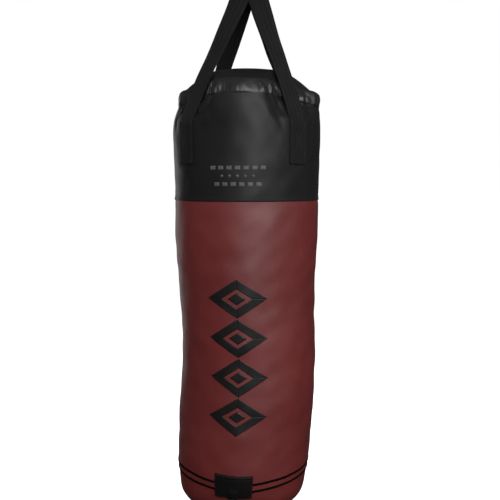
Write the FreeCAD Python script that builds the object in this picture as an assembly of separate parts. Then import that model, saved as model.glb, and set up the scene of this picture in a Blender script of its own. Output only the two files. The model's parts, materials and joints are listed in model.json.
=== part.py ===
# Long hanging punch bag with four webbing legs, drawn at full size.
# Millimetres, +Z up, front of the bag towards -Y. Every height below is measured up from the bag's base.
# The origin of the exported parts is the middle of the hanging ring's eye.
import math
import os

import FreeCAD, Part
from FreeCAD import Vector, Rotation

# ---- bag body
BASE_RADIUS = 113.5           # where the rounded corner meets the base
LOWER_RADIUS = 161.5          # below the waist
SHOULDER_RADIUS = 175.0       # top third
CORNER_HEIGHT = 150.0         # height over which the base corner rounds out
TAPER_START, TAPER_END = 450.0, 900.0
WAIST_HEIGHT, WAIST_SPREAD, WAIST_DEPTH = 430.0, 90.0, 2.0
COLOUR_SEAM = 747.0           # lower edge of the upper shell
LAP = 15.0                    # how far the lower shell runs up behind the upper one
SKIN = 1.6                    # synthetic leather
LOWER_INSET = SKIN + 0.4      # the lower shell is tucked inside the upper one
GAP = 0.2                     # air between neighbouring layers
PIPING = 2.3                  # radius of the piping round the base
LINING = 1.0
PADDING = 20.0                # foam wall
LAYERS_FOOT = 5.0             # the lining and base foam start here, just over the base panel
FILL_FOOT, FILL_TOP = 26.0, 925.0
REINFORCED_TO = 920.0         # top of the band behind the sewn feet, just under the pinch

# ---- rim and closure
LEG_AZIMUTHS = (46.0, 140.0, -140.0, -46.0)   # degrees round from the front, towards +X
PINCH_HALF_ANGLE = 21.0       # how wide the legs pull the rim in
RIM = 983.0                   # top of the upper shell, foot of the hem band
HEM_HEIGHT, HEM_THICK = 30.0, 4.0
DOME_TOP = 1047.0
PLATEAU_RADIUS = 80.0         # flat part of the dome, where the zip lies
DOME_EDGE = HEM_THICK + 3.4   # how far inside the hem's outer face the dome's edge runs
DOME_WALL = (990.0, 998.0)    # the dome's edge lies against the hem between these heights
DOME_RINGS = ((1008.0, 148.0, 124.5), (1019.0, 133.0, 119.0), (1030.0, 117.5, 111.0), (1040.0, 101.0, 98.5),
              (DOME_TOP, PLATEAU_RADIUS, PLATEAU_RADIUS))   # height, radius in a lobe, radius under a leg

# ---- webbing legs
WEBBING_WIDTH, WEBBING_THICK = 50.0, 2.4
SEWN_FOOT, LEAVES_SHELL = 829.0, 934.0
PINCH_CLEARANCE = 3.4
STACK_GAP = 1.2               # between the two straps where they cross over the bar
TWIST_STARTS, UNTWISTED = 0.3, 0.82   # part of the free run over which a leg turns from the shell to the bar

# ---- hanging ring
BAR_HEIGHT = 1266.0
RING_WIRE = 5.0               # radius of the ring's steel
RING_BAR_HALF, RING_CORNER = 33.0, 6.0
EYE_HEIGHT = BAR_HEIGHT + 25.0
STRAPS_AT = 7.0               # the straps have settled to one side of the bar's middle
RUNNING_GAP = 0.3

# ---- zip
ZIP_HALF, PANEL_OPENING = 74.0, 8.0
TOOTH_PITCH, TOOTH_LONG, TOOTH_HIGH, TEETH_GAP = 3.2, 1.7, 2.8, 0.9
TOOTH_REACH = 3.6
TAPE_THICK, TAPE_EDGE = 1.0, 18.0
SLIDER_X, SLIDER_LONG, SLIDER_HALF = 66.0, 12.0, 4.9
PULL_LONG, PULL_HALF, PULL_THICK = 26.0, 3.6, 1.4

# ---- lower trim and tether
STRIPE_HEIGHTS, STRIPE_TALL, STRIPE_THICK = (85.0, 102.0), 5.0, 0.7
TAB_WIDTH, TAB_FOOT, TAB_TOP, TAB_THICK = 89.0, 68.0, 125.0, 4.5
LOOP_HALF, LOOP_THICK, LOOP_TOP = 10.0, 1.5, 92.0
TETHER_WIRE, TETHER_BAR_HALF, TETHER_CORNER = 1.8, 11.0, 3.0
TETHER_BAR_HEIGHT = 60.0
TETHER_AZIMUTH = -6.2         # the foot hangs a little to the left, and its tab with it

UP = Vector(0, 0, 1)
AXIS = Vector(0, 0, 0)


def smooth(t):
    t = max(0.0, min(1.0, t))
    return t * t * (3 - 2 * t)


def radius_at(height):
    """Outer radius of the bag, without the pinch at the legs."""
    taper = smooth((height - TAPER_START) / (TAPER_END - TAPER_START))
    waist = WAIST_DEPTH * math.exp(-((height - WAIST_HEIGHT) / WAIST_SPREAD) ** 2)
    corner = (LOWER_RADIUS - BASE_RADIUS) * max(0.0, 1 - height / CORNER_HEIGHT) ** 3
    rim = 12.0 * max(0.0, (height - 950.0) / 59.0) ** 2
    return LOWER_RADIUS + (SHOULDER_RADIUS - LOWER_RADIUS) * taper - waist - corner - rim


def at(azimuth, radius, height):
    """A point given by its angle round from the front, its radius and its height."""
    a = math.radians(azimuth)
    return Vector(radius * math.sin(a), -radius * math.cos(a), height)


# ---- solids of revolution

def wall_edge(depth, low, high):
    """The bag's outline, moved inwards by depth, as one smooth curve in the XZ plane."""
    steps = max(4, int((high - low) / 15.0))
    curve = Part.BSplineCurve()
    heights = [low + (high - low) * i / steps for i in range(steps + 1)]
    curve.interpolate([Vector(radius_at(h) - depth, 0, h) for h in heights])
    return curve.toShape()


def layer(outer_depth, inner_depth, low, high, half_angle=180.0):
    """A layer of the bag between two depths; with no inner depth it is solid to the middle."""
    outer = wall_edge(outer_depth, low, high)
    low_point, high_point = outer.Vertexes[0].Point, outer.Vertexes[-1].Point
    if inner_depth is None:
        inner_low, inner_high = Vector(0, 0, low), Vector(0, 0, high)
        inner = Part.LineSegment(inner_low, inner_high).toShape()
    else:
        inner = wall_edge(inner_depth, low, high)
        inner_low, inner_high = inner.Vertexes[0].Point, inner.Vertexes[-1].Point
    foot = Part.LineSegment(inner_low, low_point).toShape()
    head = Part.LineSegment(inner_high, high_point).toShape()
    face = Part.Face(Part.Wire(Part.__sortEdges__([outer, head, inner, foot])))
    face.rotate(AXIS, UP, -90.0 - half_angle)
    return face.revolve(AXIS, UP, 2 * half_angle)


def turned(points):
    """A solid turned about the bag's axis from an outline of (radius, height) points."""
    corners = [Vector(r, 0, h) for r, h in points]
    return Part.Face(Part.makePolygon(corners + corners[:1])).revolve(AXIS, UP, 360)


# ---- pinched rim

def leg_slope():
    return (radius_at(LEAVES_SHELL) + WEBBING_THICK) / (BAR_HEIGHT - LEAVES_SHELL)


def inside_legs(height):
    """Largest radius that clears a leg's inner face at this height."""
    return radius_at(LEAVES_SHELL) - PINCH_CLEARANCE - leg_slope() * (height - LEAVES_SHELL)


def pinch_shape(azimuth):
    """1 under a leg, 0 in the middle of a lobe."""
    off = min(abs((azimuth - leg + 180.0) % 360.0 - 180.0) for leg in LEG_AZIMUTHS)
    return math.exp(-((off / PINCH_HALF_ANGLE) ** 4))


def pinched_ring(height, lobe_radius, leg_radius):
    """A closed outline that is round below the rim and four-lobed where the legs pull it in."""
    depth = max(0.0, lobe_radius - leg_radius)
    azimuths = range(0, 360, 5)
    curve = Part.BSplineCurve()
    curve.interpolate([at(a, lobe_radius - depth * pinch_shape(a), height) for a in azimuths], True)
    return Part.Wire([curve.toShape()])


def pinched_wall(heights, depth, thickness):
    """A wall of the rim: outer loft less inner loft."""
    lofts = []
    for inset in (depth, depth + thickness):
        rings = [pinched_ring(h, radius_at(h) - inset, inside_legs(h) - inset) for h in heights]
        lofts.append(Part.makeLoft(rings, True, False))
    return lofts[0].cut(lofts[1])


def make_upper_shell():
    round_part = [COLOUR_SEAM + 17.0 * i for i in range(11)]
    pinched_part = [930.0, 942.0, 955.0, 969.0, RIM]
    return pinched_wall(round_part + pinched_part, 0.0, SKIN)


def make_top_hem_band():
    return pinched_wall([RIM, RIM + HEM_HEIGHT / 2, RIM + HEM_HEIGHT], 0.0, HEM_THICK)


def dome_body(inset):
    """The closure's dome as a closed solid, inset all over."""
    edge = [(h, radius_at(h) - DOME_EDGE, inside_legs(h) - DOME_EDGE) for h in DOME_WALL]
    rings = [pinched_ring(h - inset, lobe - inset, leg - inset) for h, lobe, leg in (*edge, *DOME_RINGS)]
    return Part.makeLoft(rings, True, False)


def make_closure_panels():
    """Two half domes that meet at the zip's opening and are sewn together beyond its ends."""
    dome = dome_body(0.0).cut(dome_body(SKIN))
    opening = Part.makeBox(2 * ZIP_HALF, 2 * PANEL_OPENING, 60.0,
                           Vector(-ZIP_HALF, -PANEL_OPENING, DOME_TOP - 40.0))
    dome = dome.cut(opening)
    halves = {}
    for name, low in (("front", -200.05), ("rear", 0.05)):
        half_space = Part.makeBox(400.0, 200.0, 100.0, Vector(-200.0, low, 980.0))
        halves["closure_panel_" + name] = dome.common(half_space)
    return halves


# ---- zip

def make_zip_tapes_and_teeth():
    middle = DOME_TOP - SKIN - TAPE_THICK / 2
    parts = {}
    for name, side in (("front", -1), ("rear", 1)):
        tape_inner = min(side * TOOTH_REACH, side * TAPE_EDGE)
        tape = Part.makeBox(2 * ZIP_HALF, TAPE_EDGE - TOOTH_REACH, TAPE_THICK,
                            Vector(-ZIP_HALF, tape_inner, middle - TAPE_THICK / 2))
        parts["zip_tape_" + name] = tape
        first = -ZIP_HALF + 4.0 + (TOOTH_PITCH / 2 if side > 0 else 0.0)
        tooth_low = min(side * TEETH_GAP, side * TOOTH_REACH)
        teeth = []
        x = first
        while x + TOOTH_LONG < ZIP_HALF - 4.0:
            teeth.append(Part.makeBox(TOOTH_LONG, TOOTH_REACH - TEETH_GAP, TOOTH_HIGH,
                                      Vector(x, tooth_low, middle - TOOTH_HIGH / 2)))
            x += TOOTH_PITCH
        parts["zip_teeth_" + name] = Part.makeCompound(teeth)
    return parts


def make_zip_stops():
    middle = DOME_TOP - SKIN - TAPE_THICK / 2
    stops = [Part.makeBox(2.4, 2 * TOOTH_REACH - 0.2, TOOTH_HIGH,
                          Vector(x, -TOOTH_REACH + 0.1, middle - TOOTH_HIGH / 2))
             for x in (-ZIP_HALF + 0.6, ZIP_HALF - 0.6 - 2.4)]
    return Part.makeCompound(stops)


def make_zip_slider():
    """Two plates that hold the teeth between them, a thin post, side lips and a bail for the pull."""
    middle = DOME_TOP - SKIN - TAPE_THICK / 2
    plate_low, plate_thick, lip_thick = TOOTH_HIGH / 2 + 0.4, 1.5, 0.9
    left = SLIDER_X - SLIDER_LONG / 2
    pieces = []
    for side in (-1, 1):
        base = middle + (plate_low if side > 0 else -plate_low - plate_thick)
        plate = Part.makeBox(SLIDER_LONG, 2 * SLIDER_HALF, plate_thick, Vector(left, -SLIDER_HALF, base))
        corners = [e for e in plate.Edges if abs(e.Vertexes[0].Z - e.Vertexes[1].Z) > 1.0]
        pieces.append(plate.makeFillet(2.0, corners))
        lip_tall = plate_low - TAPE_THICK / 2 - 0.4
        lip_base = middle + (TAPE_THICK / 2 + 0.4 if side > 0 else -plate_low)
        for y in (-SLIDER_HALF, SLIDER_HALF - lip_thick):
            pieces.append(Part.makeBox(SLIDER_LONG - 4.2, lip_thick, lip_tall, Vector(left + 2.1, y, lip_base)))
    post = Part.makeBox(3.0, 1.0, 2 * plate_low + 1.0,
                        Vector(SLIDER_X + 1.5, -0.5, middle - plate_low - 0.5))
    top = middle + plate_low + plate_thick
    bail = Part.makeBox(8.0, 2.0, 4.0, Vector(SLIDER_X - 4.0, -1.0, top - 0.2))
    window = Part.makeBox(5.6, 3.0, 2.8, Vector(SLIDER_X - 2.8, -1.5, top))
    pieces += [post, bail.cut(window)]
    return pieces[0].multiFuse(pieces[1:]).removeSplitter()


def pull_pin_height():
    return DOME_TOP - SKIN - TAPE_THICK / 2 + TOOTH_HIGH / 2 + 0.4 + 1.5 + 1.4


def make_zip_pull():
    """A plate with a fork and a cross pin that turns under the slider's bail; it lies towards -X."""
    height = pull_pin_height()
    plate = Part.makeBox(PULL_LONG - 5.6, 2 * PULL_HALF, PULL_THICK,
                         Vector(SLIDER_X - PULL_LONG, -PULL_HALF, height - PULL_THICK / 2))
    outer = [e for e in plate.Edges
             if abs(e.Vertexes[0].Z - e.Vertexes[1].Z) > 1.0 and e.Vertexes[0].X < SLIDER_X - PULL_LONG + 1.0]
    plate = plate.makeFillet(2.6, outer)
    hole = Part.makeCylinder(1.6, 4.0, Vector(SLIDER_X - PULL_LONG + 4.2, 0, height - 2.0))
    pieces = [Part.makeBox(6.6, 2.0, PULL_THICK, Vector(SLIDER_X - 5.8, y, height - PULL_THICK / 2))
              for y in (-PULL_HALF, PULL_HALF - 2.0)]
    pieces.append(Part.makeCylinder(0.7, 2 * PULL_HALF, Vector(SLIDER_X, -PULL_HALF, height), Vector(0, 1, 0)))
    return plate.cut(hole).multiFuse(pieces).removeSplitter()


# ---- webbing legs

def webbing_section(centre, across, outward, sag):
    """Cross-section of the webbing: its two broad faces are shallow arcs that drop by sag at the edges."""
    half, thick = across * (WEBBING_WIDTH / 2), outward * (WEBBING_THICK / 2)
    drop = outward * max(sag, 0.03)
    outer = Part.Arc(centre - half + thick - drop, centre + thick, centre + half + thick - drop)
    inner = Part.Arc(centre + half - thick - drop, centre - thick, centre - half - thick - drop)
    edges = [outer.toShape(),
             Part.LineSegment(outer.EndPoint, inner.StartPoint).toShape(),
             inner.toShape(),
             Part.LineSegment(inner.EndPoint, outer.StartPoint).toShape()]
    return Part.Wire(edges)


def leg_sections(azimuth, bend_radius):
    """Sections of one leg, from its sewn foot up to where it meets the ring's bar."""
    sections = []
    radial = at(azimuth, 1.0, 0.0)
    across = at(azimuth + 90.0, 1.0, 0.0) * (1 if abs(azimuth) < 90.0 else -1)
    lift = WEBBING_THICK / 2 + RUNNING_GAP
    for step in range(4):
        height = SEWN_FOOT + (LEAVES_SHELL - SEWN_FOOT) * step / 3
        radius = radius_at(height) + lift
        sag = (WEBBING_WIDTH / 2) ** 2 / (2 * radius)
        sections.append(webbing_section(at(azimuth, radius, height), across, radial, sag))
    leaves = at(azimuth, radius_at(LEAVES_SHELL) + lift, LEAVES_SHELL)
    facing = -1 if leaves.y < 0 else 1
    drop = BAR_HEIGHT - LEAVES_SHELL
    lean = math.atan2(abs(leaves.y), drop) - math.asin(bend_radius / math.hypot(leaves.y, drop))
    bar_outward = Vector(0, facing * math.cos(lean), math.sin(lean))
    meets = Vector(STRAPS_AT, 0, BAR_HEIGHT) + bar_outward * bend_radius
    run = leaves - meets
    along = Vector(run).normalize()
    shell_outward = (radial - along * radial.dot(along)).normalize()
    turn = math.degrees(bar_outward.getAngle(shell_outward))
    if along.dot(bar_outward.cross(shell_outward)) < 0:
        turn = -turn
    square = (Vector(1, 0, 0) - along * along.x).normalize()
    skew = math.degrees(square.getAngle(Vector(1, 0, 0)))
    if bar_outward.dot(square.cross(Vector(1, 0, 0))) < 0:
        skew = -skew
    sag_at_shell = (WEBBING_WIDTH / 2) ** 2 / (2 * SHOULDER_RADIUS)
    steps = 18
    for step in range(1, steps + 1):
        up = step / steps
        twist = Rotation(along, turn * smooth((UNTWISTED - up) / (UNTWISTED - TWIST_STARTS)))
        outward = twist.multVec(bar_outward)
        width = twist.multVec(Rotation(bar_outward, skew * smooth((up - 0.82) / 0.18)).multVec(square))
        sag = sag_at_shell * max(0.0, 1 - up * 3)
        sections.append(webbing_section(leaves - run * up, width, outward, sag))
    return sections, lean


def make_strap(side, bend_radius):
    """One webbing strap: front foot, up and over the ring's bar, down to the rear foot."""
    front, lean = leg_sections(side * LEG_AZIMUTHS[0], bend_radius)
    rear, rear_lean = leg_sections(side * LEG_AZIMUTHS[1], bend_radius)
    over = []
    steps = 14
    start, end = math.pi - lean, rear_lean
    for step in range(1, steps):
        a = start + (end - start) * step / steps
        outward = Vector(0, math.cos(a), math.sin(a))
        over.append(webbing_section(Vector(STRAPS_AT, 0, BAR_HEIGHT) + outward * bend_radius,
                                    Vector(1, 0, 0), outward, 0.0))
    return Part.makeLoft(front + over + rear[::-1], True, True)


def make_strap_bar_tacks():
    """Raised rows of thread across each sewn foot."""
    lift = RUNNING_GAP + WEBBING_THICK + 0.1
    tacks = []
    for azimuth in LEG_AZIMUTHS:
        for height in (SEWN_FOOT + 5.0, SEWN_FOOT + 50.0, LEAVES_SHELL - 9.0):
            tack = layer(-lift - 0.6, -lift, height, height + 2.6, 7.0)
            tack.rotate(AXIS, UP, azimuth)
            tacks.append(tack)
    return Part.makeCompound(tacks)


# ---- rings

def make_d_ring(middle, bar_half, corner, wire, way):
    """A closed D of round bar in the XZ plane, its straight bar at middle and its bow up (1) or down (-1)."""
    def spot(x, z):
        return middle + Vector(x, 0, way * z)

    bow = bar_half + corner
    shoulder = corner + 2.0
    slant = corner * math.sqrt(0.5)
    edges = [Part.LineSegment(spot(0, 0), spot(bar_half, 0)),
             Part.Arc(spot(bar_half, 0), spot(bar_half + slant, corner - slant), spot(bow, corner)),
             Part.LineSegment(spot(bow, corner), spot(bow, shoulder)),
             Part.Arc(spot(bow, shoulder), spot(0, shoulder + bow), spot(-bow, shoulder)),
             Part.LineSegment(spot(-bow, shoulder), spot(-bow, corner)),
             Part.Arc(spot(-bow, corner), spot(-bar_half - slant, corner - slant), spot(-bar_half, 0)),
             Part.LineSegment(spot(-bar_half, 0), spot(0, 0))]
    path = Part.Wire([e.toShape() for e in edges])
    section = Part.Wire([Part.Circle(middle, Vector(1, 0, 0), wire).toShape()])
    return path.makePipeShell([section], True, False)


# ---- tether

def shell_surface(height):
    """Radius of the lower shell's outer face."""
    return radius_at(height) - LOWER_INSET


def tether_bar():
    out = shell_surface(TETHER_BAR_HEIGHT) + RUNNING_GAP + TETHER_WIRE + RUNNING_GAP + LOOP_THICK + 1.0
    return Vector(0, -out, TETHER_BAR_HEIGHT)


def tail_slab(margin):
    """The doubled tail of the loop, which leans with the bag's side and lies inside the tab."""
    near = -shell_surface(TAB_FOOT) - STRIPE_THICK - 0.5 + margin
    far = near - 2 * LOOP_THICK - 2 * margin
    lean = shell_surface(LOOP_TOP) - shell_surface(TAB_FOOT)
    x = -LOOP_HALF - margin
    foot, head = TAB_FOOT - 1.0, LOOP_TOP + margin
    outline = [Vector(x, near, foot), Vector(x, far, foot),
               Vector(x, far - lean, head), Vector(x, near - lean, head)]
    return Part.Face(Part.makePolygon(outline + outline[:1])).extrude(Vector(-2 * x, 0, 0))


def make_tether_loop():
    """Webbing folded round the tether ring's bar, its doubled tail held inside the tab."""
    bar = tether_bar()
    inner = TETHER_WIRE + RUNNING_GAP
    outer = inner + LOOP_THICK
    tail = tail_slab(0.0)
    near, far = tail.BoundBox.YMax, -shell_surface(TAB_FOOT) - STRIPE_THICK - 0.5 - 2 * LOOP_THICK
    foot = TAB_FOOT - 1.0
    spread = [Vector(-LOOP_HALF, far, foot), Vector(-LOOP_HALF, near, foot),
              Vector(-LOOP_HALF, bar.y + outer * 0.96, bar.z + outer * 0.28),
              Vector(-LOOP_HALF, bar.y - outer * 0.96, bar.z + outer * 0.28)]
    legs = Part.Face(Part.makePolygon(spread + spread[:1])).extrude(Vector(2 * LOOP_HALF, 0, 0))
    start = bar - Vector(LOOP_HALF, 0, 0)
    eye = Part.makeCylinder(outer, 2 * LOOP_HALF, start, Vector(1, 0, 0))
    bore = Part.makeCylinder(inner, 2 * LOOP_HALF, start, Vector(1, 0, 0))
    return tail.multiFuse([legs, eye]).cut(bore).removeSplitter()


def make_tether_tab():
    inner = LOWER_INSET - STRIPE_THICK - GAP
    half_angle = math.degrees(TAB_WIDTH / 2 / (shell_surface(100.0) + TAB_THICK))
    tab = layer(inner - TAB_THICK, inner, TAB_FOOT, TAB_TOP, half_angle)
    return tab.cut(tail_slab(GAP))


# ---- base, trim and filling

def make_parts():
    lining = LOWER_INSET + SKIN + GAP
    band = SKIN + 0.6
    over_bar = RING_WIRE + RUNNING_GAP + WEBBING_THICK / 2
    foam = lining + LINING + GAP
    fill = foam + PADDING + GAP
    stripe = LOWER_INSET - 0.05
    parts = {
        "upper_shell": make_upper_shell(),
        "lower_shell": layer(LOWER_INSET, LOWER_INSET + SKIN, 4.8, COLOUR_SEAM + LAP),
        "base_panel": turned([(0, 1.5), (110.6, 1.5), (110.6, 3.1), (0, 3.1)]),
        "base_piping": Part.makeTorus(BASE_RADIUS - 0.2, PIPING, Vector(0, 0, PIPING)),
        "strap_reinforcing_band": layer(band, band + 1.3, SEWN_FOOT, REINFORCED_TO),
        "inner_liner": layer(lining, lining + LINING, LAYERS_FOOT, FILL_TOP + 5.0),
        "foam_wall": layer(foam, foam + PADDING, FILL_FOOT, FILL_TOP),
        "base_foam_disc": layer(foam, None, LAYERS_FOOT + GAP, FILL_FOOT - GAP),
        "textile_fill": layer(fill, None, FILL_FOOT, FILL_TOP),
        "top_foam_disc": turned([(0, FILL_TOP + 0.4), (148, FILL_TOP + 0.4), (126, 985), (114, 1008), (88, 1029), (0, 1034)]),
        "top_hem_band": make_top_hem_band(),
        "zip_stops": make_zip_stops(),
        "zip_slider": make_zip_slider(),
        "zip_pull": make_zip_pull(),
        "strap_left": make_strap(-1, over_bar + WEBBING_THICK + STACK_GAP),
        "strap_right": make_strap(1, over_bar),
        "strap_bar_tacks": make_strap_bar_tacks(),
        "hanging_ring": make_d_ring(Vector(0, 0, BAR_HEIGHT), RING_BAR_HALF, RING_CORNER, RING_WIRE, 1),
        "tether_tab": make_tether_tab(),
        "tether_loop": make_tether_loop(),
        "tether_ring": make_d_ring(tether_bar(), TETHER_BAR_HALF, TETHER_CORNER, TETHER_WIRE, -1),
    }
    for name, height in zip(("lower_stripe", "upper_stripe"), STRIPE_HEIGHTS):
        low = height - STRIPE_TALL / 2
        parts[name] = layer(stripe - STRIPE_THICK, stripe, low, low + STRIPE_TALL)
    for name in ("tether_tab", "tether_loop", "tether_ring"):
        parts[name].rotate(AXIS, UP, TETHER_AZIMUTH)
    parts.update(make_closure_panels())
    parts.update(make_zip_tapes_and_teeth())
    return parts


os.makedirs("parts", exist_ok=True)
for name, shape in make_parts().items():
    shape.translate(Vector(0, 0, -EYE_HEIGHT))
    shape.exportStep("parts/" + name + ".step")
    box = shape.BoundBox
    print(f"{name:24s} solids {len(shape.Solids):3d} valid {shape.isValid()} volume {shape.Volume:12.1f} "
          f"z {box.ZMin + EYE_HEIGHT:7.1f} {box.ZMax + EYE_HEIGHT:7.1f} x {box.XMin:7.1f} {box.XMax:7.1f}")
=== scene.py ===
import json
import math

import bmesh
import bpy
import numpy as np
from mathutils import Matrix, Vector
from mathutils.bvhtree import BVHTree


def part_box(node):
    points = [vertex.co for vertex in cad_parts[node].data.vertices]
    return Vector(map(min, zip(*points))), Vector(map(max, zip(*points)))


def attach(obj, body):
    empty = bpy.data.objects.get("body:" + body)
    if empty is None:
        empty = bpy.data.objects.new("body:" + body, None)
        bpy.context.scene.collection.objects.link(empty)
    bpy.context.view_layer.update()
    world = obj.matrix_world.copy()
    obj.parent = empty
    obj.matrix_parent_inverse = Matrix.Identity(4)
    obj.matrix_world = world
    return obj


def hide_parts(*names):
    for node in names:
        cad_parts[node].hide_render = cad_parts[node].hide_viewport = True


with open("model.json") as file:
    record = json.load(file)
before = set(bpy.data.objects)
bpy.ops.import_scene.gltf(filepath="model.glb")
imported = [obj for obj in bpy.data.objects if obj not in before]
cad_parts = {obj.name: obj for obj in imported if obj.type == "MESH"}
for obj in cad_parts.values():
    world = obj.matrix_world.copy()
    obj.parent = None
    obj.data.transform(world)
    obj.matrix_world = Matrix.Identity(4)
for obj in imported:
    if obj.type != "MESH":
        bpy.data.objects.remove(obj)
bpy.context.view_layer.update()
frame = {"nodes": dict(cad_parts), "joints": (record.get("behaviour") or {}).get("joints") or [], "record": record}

# ---- places taken from the frame
# Heights are in metres above the bag's base; azimuths are in radians round from the front (-Y) towards +X.
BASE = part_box("base_piping")[0].z


def heights_of(name):
    """The lowest and the highest height of a CAD node."""
    return [corner.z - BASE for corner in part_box(name)]


JOINTS = {joint["name"]: joint for joint in frame["joints"]}
BAR = Vector(JOINTS["bag_swing"]["pos_m"])
TETHER_BAR = Vector(JOINTS["tether_ring_hinge"]["pos_m"])
SEAM, RIM = heights_of("upper_shell")
LAP_TOP = heights_of("lower_shell")[1]
HEM_TALL = heights_of("top_hem_band")[1] - RIM
ZIP_TOP = heights_of("zip_tape_front")[1]
ZIP_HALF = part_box("zip_tape_front")[1].x
SEWN_FOOT = heights_of("strap_left")[0]
TAB_FOOT, TAB_TOP = heights_of("tether_tab")
RING_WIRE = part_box("hanging_ring")[1].y

LEGS = np.radians([46.0, 140.0, -140.0, -46.0])
LEAVES_SHELL = SEWN_FOOT + 0.105
PINCH_HALF_ANGLE = math.radians(21.0)
SKIN = 0.0015
WEBBING_WIDTH, WEBBING_THICK = 0.050, 0.0024
CLEARANCE = 0.0003                  # between webbing and what it lies on
RIGHT = Vector((1, 0, 0))
STRAPS_MEET = BAR + RIGHT * (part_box("strap_left")[1].x - WEBBING_WIDTH / 2 + 0.002)
RIM_RADIUS, OUTSIDE = 0.172, 0.4    # the shell's radius near the rim, and one clear of the whole bag
SEED = 7


# ---- small helpers

def smooth(t):
    t = np.clip(t, 0.0, 1.0)
    return t * t * (3 - 2 * t)


def wave_field(seed, wavelength, count=28):
    """A smooth random field of about unit size, made of plane waves with one wavelength."""
    rng = np.random.default_rng(SEED + seed)
    ways = rng.normal(size=(count, 3))
    ways /= np.linalg.norm(ways, axis=1)[:, None]
    ways *= 2 * math.pi / (wavelength * rng.uniform(0.7, 1.4, count))[:, None]
    phases = rng.uniform(0, 2 * math.pi, count)

    def field(points):
        return np.sin(np.asarray(points) @ ways.T + phases).sum(-1) * math.sqrt(2.0 / count)
    return field


def polar(radius, azimuth, height):
    """Points at these radii, azimuths and heights."""
    return np.stack(np.broadcast_arrays(radius * np.sin(azimuth), -radius * np.cos(azimuth), height), -1)


def out_of(azimuths):
    return polar(1.0, azimuths, 0.0)


def directions(azimuth):
    """The unit vectors across and outwards at one azimuth."""
    return (Vector((math.cos(azimuth), math.sin(azimuth), 0.0)),
            Vector((math.sin(azimuth), -math.cos(azimuth), 0.0)))


def put_in_scene(name, data):
    thing = bpy.data.objects.new(name, data)
    bpy.context.scene.collection.objects.link(thing)
    return thing


def signed_angle(start, end, axis):
    """The angle from start to end, counted round the axis."""
    return math.copysign(start.angle(end), axis.dot(start.cross(end)))


def make_piece(name, verts, faces, material=None, uv=None):
    """A smooth mesh with its faces turned outwards, which rides on the bag."""
    mesh = bpy.data.meshes.new(name)
    mesh.from_pydata([tuple(map(float, v)) for v in verts], [], [tuple(map(int, f)) for f in faces])
    mesh.validate()
    shape = bmesh.new()
    shape.from_mesh(mesh)
    bmesh.ops.recalc_face_normals(shape, faces=shape.faces[:])
    shape.to_mesh(mesh)
    shape.free()
    if uv is not None:
        layer = mesh.uv_layers.new(name="metres")
        for loop in mesh.loops:
            layer.data[loop.index].uv = uv[loop.vertex_index]
    mesh.polygons.foreach_set("use_smooth", [True] * len(mesh.polygons))
    piece = put_in_scene(name, mesh)
    if material:
        mesh.materials.append(material)
    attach(piece, "bag")
    return piece


def grid_faces(rows, columns, closed_columns=False, closed_rows=False, start=0):
    """Quads of a rows x columns grid of vertices numbered row by row."""
    faces = []
    for r in range(rows if closed_rows else rows - 1):
        for c in range(columns if closed_columns else columns - 1):
            a = start + r * columns + c
            b = start + r * columns + (c + 1) % columns
            d = start + ((r + 1) % rows) * columns + c
            e = start + ((r + 1) % rows) * columns + (c + 1) % columns
            faces.append((a, b, e, d))
    return faces


# ---- materials

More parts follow.
